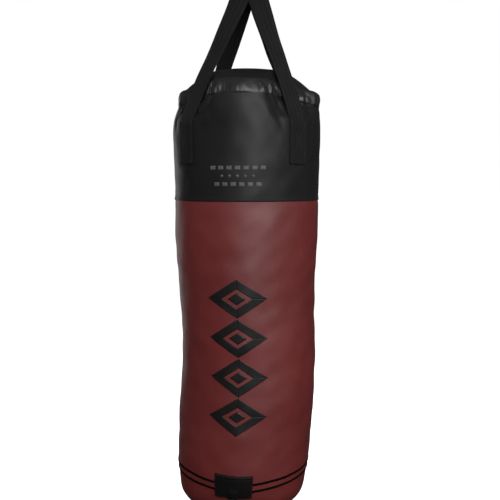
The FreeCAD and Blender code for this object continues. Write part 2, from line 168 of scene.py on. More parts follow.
class Nodes:
    """Builds a Principled material with a few short calls."""

    def __init__(self, name):
        self.material = bpy.data.materials.new(name)
        self.material.use_nodes = True
        self.tree = self.material.node_tree
        self.shader = self.tree.nodes["Principled BSDF"]
        self.place = self.add("ShaderNodeTexCoord").outputs["Object"]

    def add(self, kind, **settings):
        node = self.tree.nodes.new(kind)
        for key, value in settings.items():
            setattr(node, key, value)
        return node

    def link(self, source, target):
        self.tree.links.new(source, target)

    def set(self, **values):
        names = {"metallic": "Metallic", "specular": "Specular IOR Level", "sheen": "Sheen Weight",
                 "sheen_roughness": "Sheen Roughness"}
        for key, value in values.items():
            self.shader.inputs[names[key]].default_value = value

    def noise(self, scale, detail=3.0, rough=0.55, stretch=None):
        source = self.place
        if stretch:
            mapping = self.add("ShaderNodeMapping")
            mapping.inputs["Scale"].default_value = stretch
            self.link(source, mapping.inputs["Vector"])
            source = mapping.outputs["Vector"]
        node = self.add("ShaderNodeTexNoise")
        node.inputs["Scale"].default_value = scale
        node.inputs["Detail"].default_value = detail
        node.inputs["Roughness"].default_value = rough
        self.link(source, node.inputs["Vector"])
        return node.outputs["Fac"]

    def cells(self, scale, feature="SMOOTH_F1"):
        node = self.add("ShaderNodeTexVoronoi", feature=feature)
        node.inputs["Scale"].default_value = scale
        self.link(self.place, node.inputs["Vector"])
        return node.outputs["Distance"]

    def math(self, operation, a, b=None):
        node = self.add("ShaderNodeMath", operation=operation)
        for socket, value in zip(node.inputs, (a, b)):
            if value is None:
                continue
            if isinstance(value, (int, float)):
                socket.default_value = value
            else:
                self.link(value, socket)
        return node.outputs[0]

    def span(self, value, low, high, to_low=0.0, to_high=1.0):
        node = self.add("ShaderNodeMapRange")
        for name, limit in zip(("From Min", "From Max", "To Min", "To Max"), (low, high, to_low, to_high)):
            node.inputs[name].default_value = limit
        self.link(value, node.inputs["Value"])
        return node.outputs["Result"]

    def mix(self, factor, a, b):
        node = self.add("ShaderNodeMix", data_type="RGBA")
        colour_sockets = [s for s in node.inputs if s.type == "RGBA"]
        self.link(factor, node.inputs["Factor"])
        for socket, value in zip(colour_sockets, (a, b)):
            if isinstance(value, tuple):
                socket.default_value = (*value, 1.0)
            else:
                self.link(value, socket)
        return [s for s in node.outputs if s.type == "RGBA"][0]

    def bump(self, height, distance, strength=1.0, under=None):
        node = self.add("ShaderNodeBump")
        node.inputs["Strength"].default_value = strength
        node.inputs["Distance"].default_value = distance
        self.link(height, node.inputs["Height"])
        if under:
            self.link(under, node.inputs["Normal"])
        return node.outputs["Normal"]

    def finish(self, colour=None, roughness=None, normal=None):
        for value, name in ((colour, "Base Color"), (roughness, "Roughness"), (normal, "Normal")):
            if value is not None:
                self.link(value, self.shader.inputs[name])
        return self.material


def shade(colour, factor):
    return tuple(min(1.0, c * factor) for c in colour)


def synthetic_leather(name, colour, roughness=0.42, scuff=(0.05, 0.04, 0.04), specular=0.42):
    """Coated leathercloth: pebbled grain, faint streaks along the bag, scuffs that are paler and rougher."""
    n = Nodes(name)
    n.set(specular=specular)
    broad = n.noise(5.0, 4.0)
    fine = n.noise(38.0, 3.0, stretch=(1.0, 1.0, 0.35))
    base = n.mix(n.span(broad, 0.3, 0.7), shade(colour, 0.86), shade(colour, 1.14))
    base = n.mix(n.span(fine, 0.35, 0.75, 0.0, 0.25), base, shade(colour, 0.72))
    scuffs = n.span(n.noise(24.0, 8.0, 0.72), 0.66, 0.80, 0.0, 0.5)
    base = n.mix(scuffs, base, scuff)
    rough = n.math("ADD", n.span(broad, 0.25, 0.75, roughness - 0.05, roughness + 0.05),
                   n.math("MULTIPLY", scuffs, 0.25))
    grain = n.cells(640.0)
    pores = n.noise(1500.0, 2.0)
    creases = n.noise(85.0, 4.0, 0.6)
    normal = n.bump(creases, 0.0006, 0.35)
    normal = n.bump(grain, 0.00022, 0.55, normal)
    normal = n.bump(pores, 0.00008, 0.4, normal)
    return n.finish(base, rough, normal)


def webbing(name, colour, rib=0.0017, cord=0.0021):
    """Herringbone webbing, woven across and along in metres of the strap's own width and length."""
    n = Nodes(name)
    n.set(specular=0.2, sheen=0.03, sheen_roughness=0.5)
    uv = n.add("ShaderNodeUVMap", uv_map="metres")
    split = n.add("ShaderNodeSeparateXYZ")
    n.link(uv.outputs["UV"], split.inputs[0])
    across, along = split.outputs[0], split.outputs[1]
    fold = n.math("PINGPONG", across, WEBBING_WIDTH / 8)
    twill = n.math("SINE", n.math("MULTIPLY", n.math("ADD", along, n.math("MULTIPLY", fold, 0.9)),
                                  2 * math.pi / rib))
    cords = n.math("SINE", n.math("MULTIPLY", across, 2 * math.pi / cord))
    height = n.math("ADD", n.math("MULTIPLY", twill, 0.6), n.math("MULTIPLY", cords, 0.4))
    fuzz = n.noise(900.0, 3.0)
    base = n.mix(n.span(height, -1.0, 1.0), shade(colour, 0.55), shade(colour, 1.35))
    base = n.mix(n.span(n.noise(30.0, 4.0), 0.4, 0.8, 0.0, 0.4), base, shade(colour, 1.8))
    normal = n.bump(height, 0.00035, 0.8)
    normal = n.bump(fuzz, 0.0001, 0.6, normal)
    return n.finish(base, n.span(fuzz, 0.3, 0.7, 0.62, 0.8), normal)


def woven(name, colour, pitch=0.0012, roughness=0.8, specular=0.25, sheen=0.1):
    """Plain-weave cloth in object space."""
    n = Nodes(name)
    n.set(specular=specular, sheen=sheen, sheen_roughness=0.6)
    split = n.add("ShaderNodeSeparateXYZ")
    n.link(n.place, split.inputs[0])
    turn = 2 * math.pi / pitch
    side = n.math("SINE", n.math("MULTIPLY", n.math("ADD", split.outputs[0], split.outputs[1]), turn))
    up = n.math("SINE", n.math("MULTIPLY", split.outputs[2], turn))
    height = n.math("MULTIPLY", side, up)
    base = n.mix(n.span(height, -1.0, 1.0), shade(colour, 0.7), shade(colour, 1.2))
    base = n.mix(n.span(n.noise(60.0, 4.0), 0.4, 0.8, 0.0, 0.35), base, shade(colour, 1.5))
    return n.finish(base, n.span(n.noise(200.0), 0.3, 0.7, roughness - 0.06, roughness + 0.06),
                    n.bump(height, 0.0002, 0.7))


def twisted_thread(name, colour):
    n = Nodes(name)
    n.set(specular=0.35)
    strands = n.noise(1600.0, 2.0, stretch=(1.0, 1.0, 2.5))
    base = n.mix(n.span(strands, 0.35, 0.65), shade(colour, 0.6), shade(colour, 1.4))
    return n.finish(base, n.span(strands, 0.3, 0.7, 0.5, 0.65), n.bump(strands, 0.0002, 0.8))


def steel(name, colour, roughness, wear):
    """Plated steel with fine scratches, dulled in patches."""
    n = Nodes(name)
    n.set(metallic=1.0)
    patches = n.noise(70.0, 5.0, 0.6)
    scratches = n.noise(900.0, 3.0, 0.7, stretch=(1.0, 0.15, 0.15))
    base = n.mix(n.span(patches, 0.35, 0.75), colour, shade(colour, 0.62))
    rough = n.math("ADD", n.span(patches, 0.3, 0.7, roughness, roughness + wear),
                   n.span(scratches, 0.45, 0.7, 0.0, 0.12))
    normal = n.bump(scratches, 0.00004, 0.5)
    return n.finish(base, rough, normal)


def print_ink(name, colour, roughness=0.5):
    """Screen-printed ink that takes the leathercloth's grain and has worn through here and there."""
    n = Nodes(name)
    n.set(specular=0.35)
    worn = n.span(n.noise(160.0, 6.0, 0.7), 0.60, 0.74, 0.0, 0.55)
    base = n.mix(n.span(n.noise(14.0), 0.3, 0.7), shade(colour, 0.8), shade(colour, 1.2))
    base = n.mix(worn, base, shade(colour, 2.4))
    normal = n.bump(n.cells(640.0), 0.00016, 0.5)
    return n.finish(base, n.span(n.noise(40.0), 0.3, 0.7, roughness - 0.06, roughness + 0.08), normal)


def open_foam(name, colour):
    n = Nodes(name)
    n.set(specular=0.2)
    bubbles = n.cells(420.0, "F1")
    base = n.mix(n.span(bubbles, 0.0, 0.7), shade(colour, 0.75), shade(colour, 1.1))
    return n.finish(base, n.span(n.noise(50.0), 0.3, 0.7, 0.82, 0.95), n.bump(bubbles, 0.0006, 0.7))


def packed_cloth(name, colour):
    n = Nodes(name)
    n.set(specular=0.2, sheen=0.15, sheen_roughness=0.6)
    shreds = n.noise(70.0, 6.0, 0.7, stretch=(1.0, 1.0, 2.2))
    base = n.mix(n.span(shreds, 0.35, 0.65), shade(colour, 0.5), shade(colour, 1.5))
    return n.finish(base, n.span(shreds, 0.3, 0.7, 0.8, 0.95), n.bump(shreds, 0.003, 0.8))


BLACK = (0.0105, 0.0096, 0.0096)
BURGUNDY = (0.140, 0.0170, 0.0165)
LOOKS = {
    "black_synthetic_leather": synthetic_leather("black_leathercloth", BLACK, 0.50,
                                                 (0.030, 0.027, 0.027), 0.28),
    "burgundy_synthetic_leather": synthetic_leather("burgundy_leathercloth", BURGUNDY, 0.52,
                                                    (0.190, 0.036, 0.036), 0.64),
    "stripe_tape": woven("stripe_tape", (0.0030, 0.0020, 0.0022), 0.0011, 0.85, 0.06, 0.0),
    "black_webbing": webbing("black_webbing", (0.0062, 0.0062, 0.0064)),
    "black_thread": twisted_thread("black_thread", (0.017, 0.016, 0.017)),
    "zip_tape": woven("zip_tape", (0.011, 0.011, 0.012), 0.0009),
    "zip_metal": steel("zip_metal", (0.30, 0.29, 0.28), 0.30, 0.15),
    "ring_steel": steel("ring_steel", (0.60, 0.60, 0.61), 0.20, 0.18),
    "canvas_lining": woven("canvas_lining", (0.35, 0.33, 0.29), 0.0016),
    "foam": open_foam("foam", (0.5, 0.48, 0.42)),
    "textile_fill": packed_cloth("textile_fill", (0.28, 0.27, 0.26)),
}
# The hem band's leathercloth is a lighter, glossier copy of the black one: its paler base colour is a painted
# highlight where the hem's puffed front catches the light from above.
HEM_LIT_LOOK = synthetic_leather("hem_leathercloth_painted_highlight", (0.0130, 0.0118, 0.0116), 0.47, (0.034, 0.030, 0.030), 0.58)
TAB_LOOK = synthetic_leather("tab_leathercloth", (0.0045, 0.0036, 0.0036), 0.62, (0.010, 0.009, 0.009), 0.16)
MARK_INK = print_ink("mark_ink", (0.0075, 0.0065, 0.0068), 0.46)
EMBLEM_INK = print_ink("emblem_ink", (0.085, 0.082, 0.080), 0.5)

# Every CAD node takes its slot's look; the soft ones are replaced below.
for entry in frame["record"]["subparts"]:
    node = frame["nodes"][entry["node"]]
    node.data.materials.clear()
    node.data.materials.append(LOOKS[entry["material_slot"]])
SLOTS = {entry["node"]: entry["material_slot"] for entry in frame["record"]["subparts"]}


def stand_for(piece, *nodes):
    """The piece replaces these CAD nodes; unless it already has a look, it takes the look of the first one's slot.
    """
    slot = SLOTS[nodes[0]]
    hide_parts(*nodes)
    if not piece.data.materials:
        piece.data.materials.append(LOOKS[slot])
    return piece


# ---- camera

CAMERA_AZIMUTH = math.radians(5.0)
CAMERA_FORWARD = 1.872
CAMERA_HEIGHT = 0.799
CAMERA_PITCH = math.radians(5.3)
AIM_RIGHT = 0.008
LENS_PIXELS, FRAME_PIXELS, SENSOR = 776.0, 500.0, 36.0

camera_data = bpy.data.cameras.new("camera")
camera_data.sensor_width = SENSOR
camera_data.lens = LENS_PIXELS / FRAME_PIXELS * SENSOR
camera_data.clip_start, camera_data.clip_end = 0.05, 60.0
camera = put_in_scene("camera", camera_data)
turn = Matrix.Rotation(CAMERA_AZIMUTH, 4, "Z")
camera.location = turn @ Vector((AIM_RIGHT, -CAMERA_FORWARD, 0.0)) + Vector((0, 0, BASE + CAMERA_HEIGHT))
camera.rotation_euler = (math.pi / 2 - CAMERA_PITCH, 0.0, CAMERA_AZIMUTH)
bpy.context.scene.camera = camera


# ---- the bag's surface

def outline(name, azimuth, heights):
    """Radius of a CAD node's outer face at one azimuth and several heights."""
    mesh = frame["nodes"][name].data
    tree = BVHTree.FromPolygons([v.co for v in mesh.vertices], [p.vertices for p in mesh.polygons])
    away = directions(azimuth)[1]
    hits = [tree.ray_cast(away * OUTSIDE + Vector((0, 0, BASE + height)), -away)[0] for height in heights]
    return np.array([math.hypot(hit.x, hit.y) for hit in hits])


FOOT_STATIONS = np.linspace(0.0052, LAP_TOP - 0.001, 90)
FOOT_RADII = outline("lower_shell", math.pi / 2, FOOT_STATIONS)
HEAD_STATIONS = np.linspace(SEAM + 0.0005, RIM - 0.0005, 60)
HEM_STATIONS = np.linspace(RIM + 0.0005, RIM + HEM_TALL - 0.0005, 12)
ALL_STATIONS = np.concatenate([HEAD_STATIONS, HEM_STATIONS])
# The outline bulges between two legs and is drawn in at each leg.
ALL_LOBE, ALL_LEG = (np.concatenate([outline("upper_shell", azimuth, HEAD_STATIONS),
                                     outline("top_hem_band", azimuth, HEM_STATIONS)])
                     for azimuth in (math.pi / 2, LEGS[0]))


def sway(height):
    """How far the filled foot hangs to the side of the axis, along X."""
    belly = 0.0035 * np.exp(-((height - 0.36) / 0.11) ** 2)
    return belly - 0.016 * np.clip(1 - height / 0.30, 0.0, 1.0) ** 1.2


def leg_offset(azimuth):
    """Angle to the nearest strap leg."""
    away = np.abs((azimuth[..., None] - LEGS + math.pi) % (2 * math.pi) - math.pi)
    return away.min(-1)


def pinch(azimuth):
    return np.exp(-(leg_offset(azimuth) / PINCH_HALF_ANGLE) ** 4)


def crease(azimuth, height, start, end, width, depth):
    """A soft groove between two (azimuth in degrees, height) points; a negative depth is a ridge."""
    a = np.array([math.radians(start[0]) * RIM_RADIUS, start[1]])
    b = np.array([math.radians(end[0]) * RIM_RADIUS, end[1]])
    along = b - a
    px, py = azimuth * RIM_RADIUS - a[0], height - a[1]
    t = (px * along[0] + py * along[1]) / along.dot(along)
    inside = np.clip(t, 0.0, 1.0)
    distance = np.hypot(px - inside * along[0], py - inside * along[1])
    taper = np.sin(np.clip(inside, 0.02, 0.98) * math.pi) ** 0.5
    return -depth * taper * np.exp(-(distance / width) ** 2)


RIM_LIFT_FRONT, RIM_DROP_SIDE = 0.003, 0.009
FOOT_RISE_SIDE, FOOT_DROP_FRONT = 0.0165, 0.0035
LUMPS, RIPPLES, FLUTES = wave_field(1, 0.16), wave_field(2, 0.055), wave_field(3, 0.024)

CREASES = [
    # (start, end, width, depth): azimuth in degrees and height in metres
    ((15, 1.024), (26, 0.962), 0.0060, 0.0062),
    ((23, 0.978), (34, 0.905), 0.0085, 0.0022),
    ((29, 0.985), (41, 0.925), 0.0075, -0.0010),
    ((12, 0.975), (30, 0.900), 0.0120, -0.0016),
    ((-40, 0.965), (-30, 0.905), 0.0070, 0.0022),
    ((-33, 0.985), (-24, 0.925), 0.0080, -0.0018),
    ((66, 0.975), (60, 0.900), 0.0060, 0.0030),
    ((72, 0.985), (68, 0.915), 0.0055, -0.0024),
    ((-68, 0.975), (-62, 0.905), 0.0060, 0.0026),
    ((112, 0.975), (118, 0.900), 0.0065, 0.0028),
    ((150, 0.985), (143, 0.905), 0.0065, 0.0028),
    ((-150, 0.985), (-142, 0.900), 0.0065, 0.0030),
    ((-112, 0.980), (-119, 0.915), 0.0060, 0.0024),
    ((168, 0.990), (176, 0.930), 0.0080, 0.0020),
]


def under_sewn_foot(azimuth, height):
    """1 where the webbing is sewn flat on the shell, 0 elsewhere."""
    beside = smooth((math.radians(19.0) - leg_offset(azimuth)) / math.radians(10.0))
    tall = smooth((height - SEWN_FOOT + 0.012) / 0.008) * smooth((LEAVES_SHELL + 0.006 - height) / 0.008)
    return beside * tall


def relief(azimuth, height, points):
    """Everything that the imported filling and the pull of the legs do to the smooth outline."""
    total = 0.0011 * LUMPS(points) + 0.0004 * RIPPLES(points)
    near_rim = smooth((height - 0.915) / (RIM - 0.915))
    beside_leg = np.exp(-((leg_offset(azimuth) - math.radians(17.0)) / math.radians(10.0)) ** 2)
    total = total + 0.0016 * near_rim * beside_leg * FLUTES(points * np.array([1.0, 1.0, 0.35]))
    for start, end, width, depth in CREASES:
        total = total + crease(azimuth, height, start, end, width, depth)
    return total * (1 - 0.9 * under_sewn_foot(azimuth, height))


def beside(azimuth, degrees, width):
    """1 at this azimuth, falling to 0 about two widths away."""
    off = (azimuth - math.radians(degrees) + math.pi) % (2 * math.pi) - math.pi
    return np.exp(-(off / math.radians(width)) ** 2)


def ears(azimuth, height):
    """The rim's folds at the two sides: the left one is drawn in, the right one leans out."""
    drawn = -0.0125 * smooth((height - 0.915) / 0.065) * (1 - 0.45 * smooth((height - RIM) / HEM_TALL))
    leaning = 0.0075 * smooth((height - RIM) / (0.9 * HEM_TALL)) + 0.0015 * smooth((0.95 - height) / 0.04)
    return drawn * beside(azimuth, -90, 30) + leaning * beside(azimuth, 90, 22)


def bulges(azimuth, height):
    """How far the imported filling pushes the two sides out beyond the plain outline."""
    def bump(middle, width, size):
        return size * np.exp(-((height - middle) / width) ** 2)
    both = 0.0027 * smooth((0.765 - height) / 0.03) + bump(0.035, 0.025, 0.006) * smooth(height / 0.02)
    left = bump(0.625, 0.07, 0.0022) + bump(0.28, 0.07, 0.0015) + bump(0.50, 0.06, -0.0012)
    right = bump(0.43, 0.055, 0.0036) + bump(0.565, 0.03, -0.0020)
    room_for_ring = bump(0.040, 0.018, -0.0016) * beside(azimuth, -6, 12)
    return (both + np.where(azimuth < 0, left, right)) * np.sin(azimuth) ** 2 + room_for_ring


def lift(azimuth, height):
    """The rim stands higher at front and back than at the sides, and the foot's stripes hang lower there."""
    rim = RIM_LIFT_FRONT * np.cos(azimuth) ** 2 - RIM_DROP_SIDE * np.sin(azimuth) ** 2
    foot = FOOT_RISE_SIDE * np.abs(np.sin(azimuth - math.radians(5.0))) ** 1.5 - FOOT_DROP_FRONT
    rim = rim - 0.0052 * beside(azimuth, -90, 35) - 0.0100 * beside(azimuth, 90, 35)
    return (rim * smooth((height - 0.925) / (RIM - 0.925))
            + foot * smooth((height - 0.055) / 0.022) * smooth((0.20 - height) / 0.07))


def bag_points(azimuth, height, inset=0.0, lower=False):
    """Points of the bag's surface at these azimuths and heights, moved inwards by inset."""
    azimuth, height = np.broadcast_arrays(np.asarray(azimuth, float), np.asarray(height, float))
    if lower:
        radius = np.interp(height, FOOT_STATIONS, FOOT_RADII)
    else:
        lobe = np.interp(height, ALL_STATIONS, ALL_LOBE)
        leg = np.interp(height, ALL_STATIONS, ALL_LEG)
        radius = lobe - np.maximum(lobe - leg, 0.0) * pinch(azimuth)
    return settled(azimuth, height, radius, inset)


def settled(azimuth, height, radius, inset=0.0):
    """Points at this outline radius after the relief, the sway and the rim's lift."""
    flat = polar(radius, azimuth, height)
    radius = radius + relief(azimuth, height, flat) + ears(azimuth, height) + bulges(azimuth, height) - inset
    points = polar(radius, azimuth, BASE + height + lift(azimuth, height))
    points[..., 0] += sway(height)
    return points


def spot(azimuth, height, inset=0.0, lower=False):
    """One point of the bag's surface."""
    return bag_points(np.array([azimuth]), np.array([height]), inset, lower)[0]


def around(count):
    return np.linspace(-math.pi, math.pi, count, endpoint=False)


def tube_piece(name, rows, columns=480, lower=False):
    """A closed skin of revolution from (height, inset) rows."""
    azimuths = around(columns)
    verts = np.concatenate([bag_points(azimuths, height, inset, lower) for height, inset in rows])
    return make_piece(name, verts, grid_faces(len(rows), columns, closed_columns=True, closed_rows=True))


def make_shells():
    """Both shells: rows up the outside, then down the inside."""
    edge, head = 0.0005, RIM + 0.002
    heights = np.linspace(SEAM + edge, head - edge, round((head - SEAM) / 0.0025) + 1)
    rows = [(h, 0.0) for h in heights] + [(head, SKIN / 2)]
    rows += [(h, SKIN) for h in heights[::-1][::4]] + [(SEAM + edge, SKIN), (SEAM, SKIN / 2)]
    upper = tube_piece("upper_shell_skin", rows)
    stand_for(upper, "upper_shell")
    low = FOOT_STATIONS[0]
    corner_top = 0.16
    corner = low + (corner_top - low) * np.linspace(0, 1, 50) ** 1.6
    heights = np.concatenate([corner, np.linspace(corner_top, LAP_TOP, 150)[1:]])
    rows = [(h, 0.0) for h in heights]
    rows += [(h, SKIN) for h in heights[::-1][::3]] + [(low, SKIN)]
    lower = tube_piece("lower_shell_skin", rows, columns=360, lower=True)
    stand_for(lower, "lower_shell")


make_shells()

# ---- hidden soft layers

def fans(columns, first, foot, last, head):
    """Triangles that close a column of rings at its first ring and at its last one."""
    faces = []
    for c in range(columns):
        d = (c + 1) % columns
        faces += [(first + d, first + c, foot), (last + c, last + d, head)]
    return faces


def make_hidden_layers():
    """The lining, padding and filling, which settle with the shells that hide them."""
    columns, inside = 180, 0.0005
    azimuths = around(columns)
    for name, hollow in (("inner_liner", 0.001), ("foam_wall", 0.020), ("strap_reinforcing_band", 0.0013),
                         ("textile_fill", None), ("base_foam_disc", None), ("top_foam_disc", None)):
        low, high = heights_of(name)
        heights = np.linspace(low + inside, high - inside, max(4, int((high - low) / 0.008)))
        radii = outline(name, math.pi / 2, heights) - inside
        rows = [settled(azimuths, np.full(columns, h), r) for h, r in zip(heights, radii)]
        if hollow:
            rows += [settled(azimuths, np.full(columns, h), r, hollow)
                     for h, r in zip(heights[::-1], radii[::-1])]
        verts = np.concatenate(rows)
        faces = grid_faces(len(rows), columns, closed_columns=True, closed_rows=bool(hollow))
        if not hollow:
            verts = np.vstack([verts, rows[0].mean(0), rows[-1].mean(0)])
            faces += fans(columns, 0, len(verts) - 2, (len(rows) - 1) * columns, len(verts) - 1)
        layer = make_piece(name + "_layer", verts, faces)
        stand_for(layer, name)


make_hidden_layers()

# ---- hem band and closure

PUFFS, PLEATS = wave_field(4, 0.050), wave_field(5, 0.012)
HEM_DROP, HEM_COLUMNS = 0.004, 720


def hem_points(azimuth, across, inset=0.0):
    """Points of the hem band: across runs 0 to 1 from its lower stitching to its upper one."""
    height = RIM - HEM_DROP + (HEM_TALL + HEM_DROP) * across
    puff = 0.0036 * np.sin(math.pi * np.clip(across, 0.0, 1.0)) ** 0.45
    flat = out_of(azimuth) * RIM_RADIUS
    near_leg = np.exp(-((leg_offset(azimuth) - math.radians(20.0)) / math.radians(11.0)) ** 2)
    puff = puff * (0.95 + 0.42 * PUFFS(flat)) - 0.0007
    bent = flat + np.array([0.0, 0.0, height * 0.35])
    wrinkle = (0.0003 + 0.0011 * near_leg) * PLEATS(bent) * math.sin(math.pi * min(max(across, 0.03), 0.97))
    return bag_points(azimuth, height, inset - puff - wrinkle)


def make_hem():
    azimuths = around(HEM_COLUMNS)
    outer = [hem_points(azimuths, t) for t in np.linspace(0.0, 1.0, 17)]
    over = [hem_points(azimuths, 1.0 + rise, inset) for rise, inset in
            ((0.035, 0.0012), (0.04, 0.0024), (0.02, 0.0036))]
    inner = [hem_points(azimuths, t, 0.0045) for t in np.linspace(0.95, 0.05, 6)]
    under = [hem_points(azimuths, -0.03, inset) for inset in (0.0035, 0.0010)]
    rows = outer + over + inner + under
    faces = grid_faces(len(rows), HEM_COLUMNS, closed_columns=True, closed_rows=True)
    # The hem's paler black is a painted highlight, taken from the lighter copy of the black leathercloth.
    hem = make_piece("rim_hem", np.concatenate(rows), faces, material=HEM_LIT_LOOK)
    stand_for(hem, "top_hem_band")


PLATEAU = 0.080
DOME_TOP = ZIP_TOP + 0.0016
DOME_FALL, DOME_POWER = 0.0445, 1.626   # fall in mm at a distance in mm beyond the plateau
DOME_FOLDS, DOME_LUMPS = wave_field(6, 0.03), wave_field(7, 0.08)


def dome_height(radius):
    beyond = np.maximum(radius - PLATEAU, 0.0) * 1000.0
    return DOME_TOP - DOME_FALL / 1000.0 * beyond ** DOME_POWER


def panel_points(azimuth, share, slot_half, depth=0.0):
    """Points of the dome from the zip's opening (share 0) out to inside the hem (share 1)."""
    edge = hem_points(azimuth, 0.82, 0.0050)
    reach = np.hypot(edge[:, 0], edge[:, 1])
    edge_height = edge[:, 2] - BASE
    inner = np.minimum(slot_half / np.maximum(np.abs(np.cos(azimuth)), 1e-6),
                       ZIP_HALF / np.maximum(np.abs(np.sin(azimuth)), 1e-6))
    radius = inner + (reach - inner) * share
    out = np.clip((radius - PLATEAU) / (reach - PLATEAU), 0.0, 1.0)
    height = dome_height(radius) + (edge_height - dome_height(reach)) * out ** 5
    flat = polar(radius, azimuth, 0.0)
    beside_leg = np.exp(-(leg_offset(azimuth) / math.radians(20.0)) ** 2)
    soft = out ** 1.5 * (1 - out) * 4
    height = height - 0.0065 * beside(azimuth, -78, 32) * soft
    height = height + soft * (0.0012 * DOME_LUMPS(flat) + 0.0013 * beside_leg * DOME_FOLDS(flat))
    return polar(radius, azimuth, BASE + height - depth)


def make_closure():
    """Two half domes with a turned-down edge along the zip, sewn together beyond its ends."""
    slot_half, turned_down = 0.0078, 0.0009
    for name, middle in (("front", 0.0), ("rear", math.pi)):
        corner = math.atan2(ZIP_HALF, slot_half)
        side = np.concatenate([np.linspace(0, corner, 60), np.linspace(corner, math.pi / 2 - 0.0012, 26)[1:]])
        azimuths = middle + np.concatenate([-side[::-1], side[1:]])
        shares = np.concatenate([[0.0, 0.012], np.linspace(0.03, 1.0, 46)])
        rows = [panel_points(azimuths, share, slot_half, 0.0 if share else turned_down) for share in shares]
        rows += [panel_points(azimuths, share, slot_half, SKIN + 0.0001) for share in shares[::-1][::3]]
        columns, count = len(azimuths), len(rows)
        faces = grid_faces(count, columns, closed_rows=True)
        faces.append([r * columns for r in range(count)][::-1])
        faces.append([r * columns + columns - 1 for r in range(count)])
        panel = make_piece("closure_" + name, np.concatenate(rows), faces)
        stand_for(panel, "closure_panel_" + name)


make_hem()
make_closure()

# ---- webbing legs

def webbing_strip(name, centres, across, outward, sags, half_width, thick, gather=None):
    """A strip of webbing along a path of frames, with round edges; its UV is in metres across and along."""
    gather = gather or [1.0] * len(centres)
    rim = thick / 2
    span = np.linspace(-half_width + rim, half_width - rim, 13)
    profile = [(u, rim) for u in span]
    profile += [(half_width - rim + rim * math.sin(a), rim * math.cos(a)) for a in np.radians([45, 90, 135])]
    profile += [(u, -rim) for u in span[::-1]]
    profile += [(-half_width + rim - rim * math.sin(a), rim * math.cos(a)) for a in np.radians([135, 90, 45])]
    verts, uv, walked = [], [], 0.0
    for i, (centre, side, out, sag, narrow) in enumerate(zip(centres, across, outward, sags, gather)):
        if i:
            walked += (centre - centres[i - 1]).length
        for u, w in profile:
            verts.append(centre + side * u * narrow + out * (w - sag * (u / half_width) ** 2))
            uv.append((u + half_width, walked))
    count = len(profile)
    faces = grid_faces(len(centres), count, closed_columns=True)
    faces.append(list(range(count))[::-1])
    faces.append([(len(centres) - 1) * count + i for i in range(count)])
    return make_piece(name, verts, faces, uv=uv)


def vec(point):
    return Vector(map(float, point))


def surface_frame(azimuth, height, proud):
    """A frame on the shell: a point proud of it, the way across and the way out."""
    return vec(spot(azimuth, height, -proud)), *directions(azimuth)


STRAP_PROUD = CLEARANCE + WEBBING_THICK / 2
LEG_BOW, LEG_CUP, LEG_SLACK = 0.0028, 0.0035, 0.0008
BEND_FOOT, BEND_HEAD = 0.012, 0.014     # how far below and above the shell's edge a leg bends away from it
STRAP_WOBBLE = wave_field(8, 0.11)


def leg_frames(azimuth, bend_radius, further=0.0):
    """Frames of one leg from its sewn foot up to the ring's bar; further adds to its twist on the way."""
    frames = []
    front = abs(azimuth) < math.pi / 2
    way = 1 if front else -1
    shell_sag = (WEBBING_WIDTH / 2) ** 2 / (2 * 0.176)
    for height in np.linspace(SEWN_FOOT, LEAVES_SHELL - BEND_FOOT, 22):
        point, across, out = surface_frame(azimuth, height, STRAP_PROUD)
        frames.append((point, across * way, out, shell_sag))
    leaves, across, radial = surface_frame(azimuth, LEAVES_SHELL, STRAP_PROUD)
    across *= way
    facing = -1 if front else 1
    drop = BAR.z - leaves.z
    lean = math.atan2(abs(leaves.y), drop) - math.asin(bend_radius / math.hypot(leaves.y, drop))
    bar_out = Vector((0, facing * math.cos(lean), math.sin(lean)))
    meets = STRAPS_MEET + bar_out * bend_radius
    along = (leaves - meets).normalized()
    run = (leaves - meets).length
    shell_out = (radial - along * radial.dot(along)).normalized()
    turn_angle = signed_angle(bar_out, shell_out, along)
    square = (RIGHT - along * along.x).normalized()
    skew = signed_angle(square, RIGHT, bar_out)
    bend_head = leaves - along * BEND_HEAD
    start = frames[-1][0]
    for t in np.linspace(0.12, 1.0, 9):
        point = start * (1 - t) ** 2 + leaves * 2 * t * (1 - t) + bend_head * t ** 2
        out = radial.lerp(shell_out, float(smooth(t))).normalized()
        frames.append((point, across, out, shell_sag * (1 - 0.3 * t)))
    for up in np.linspace(BEND_HEAD / run, 1.0, 60)[1:]:
        extra = further * float(smooth(up / 0.20) * smooth((0.90 - up) / 0.45))
        share = math.sqrt(float(smooth((0.90 - up) / 0.60)))
        twist = Matrix.Rotation(turn_angle * share + extra * math.copysign(1.0, turn_angle), 3, along)
        out = twist @ bar_out
        side = twist @ (Matrix.Rotation(skew * float(smooth((up - 0.82) / 0.18)), 3, bar_out) @ square)
        point = leaves - along * (run * up)
        slack = math.sin(math.pi * up) ** 2 * LEG_SLACK * float(STRAP_WOBBLE(point))
        point = point + Vector((math.copysign(LEG_BOW, azimuth) * math.sin(math.pi * up), 0.0, 0.0))
        cup = LEG_CUP * float(smooth((up - 0.30) / 0.25) * smooth((0.88 - up) / 0.12))
        frames.append((point + out * slack, side, out, cup + shell_sag * 0.7 * max(0.0, 1 - up * 3)))
    return frames, lean


